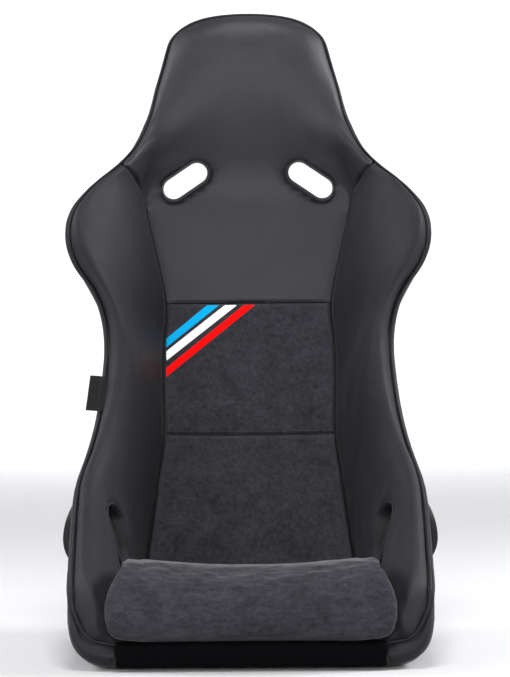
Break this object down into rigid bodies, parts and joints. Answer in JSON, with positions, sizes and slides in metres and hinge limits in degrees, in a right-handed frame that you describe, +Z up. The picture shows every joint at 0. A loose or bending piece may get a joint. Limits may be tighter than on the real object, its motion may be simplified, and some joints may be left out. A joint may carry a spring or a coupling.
{
  "type": "racing seat",
  "caption": "One-piece bucket racing seat with head wings, belt slots, side inserts and a lift-out cushion.",
  "frame": {"origin": "on the floor, under the middle of the seat's bounding box", "axes": "+X to the right of a viewer who faces the seat, -Y the way the seat faces, +Z up"},
  "size_m": [0.5556, 0.5821, 0.9644],
  "materials": {
    "shell": "moulded glass-fibre shell, satin black",
    "leather_binding": "fine-grained charcoal leather",
    "piping": "black welt",
    "foam": "open-cell foam",
    "leather": "fine-grained charcoal leather",
    "suede": "mottled dark grey suede",
    "stripe_blue": "sewn stripe",
    "stripe_white": "sewn stripe",
    "stripe_red": "sewn stripe",
    "bezel": "black moulded",
    "steel": "zinc-plated",
    "trim": "black, satin",
    "label": "black woven tape",
    "base_cloth": "non-slip cloth",
    "strip": "hook-and-loop tape"
  },
  "bodies": {
    "seat": {"shell": "shell", "edge_binding": "leather_binding", "piping_left": "piping", "piping_right": "piping", "head_foam": "foam", "head_cover": "leather", "back_foam": "foam", "back_cover_upper": "suede", "back_cover_lower": "suede", "stripe_blue": "stripe_blue", "stripe_white": "stripe_white", "stripe_red": "stripe_red", "bolster_foam_left": "foam", "bolster_foam_right": "foam", "bolster_cover_left": "leather", "bolster_cover_right": "leather", "shoulder_bezel_left": "bezel", "shoulder_bezel_right": "bezel", "lap_bezel_left": "bezel", "lap_bezel_right": "bezel", "mount_inserts_left": "steel", "mount_inserts_right": "steel", "front_trim": "trim", "side_label": "label", "hook_strip_left": "strip", "hook_strip_right": "strip"},
    "cushion": {"cushion_foam": "foam", "cushion_cover": "suede", "cushion_base": "base_cloth", "loop_strip_left": "strip", "loop_strip_right": "strip"}
  },
  "joints": [
    {"name": "cushion_lift", "type": "slide", "parent": "seat", "child": "cushion", "axis": [0, -0.5, 0.866], "range_m": [0, 0.3]}
  ]
}
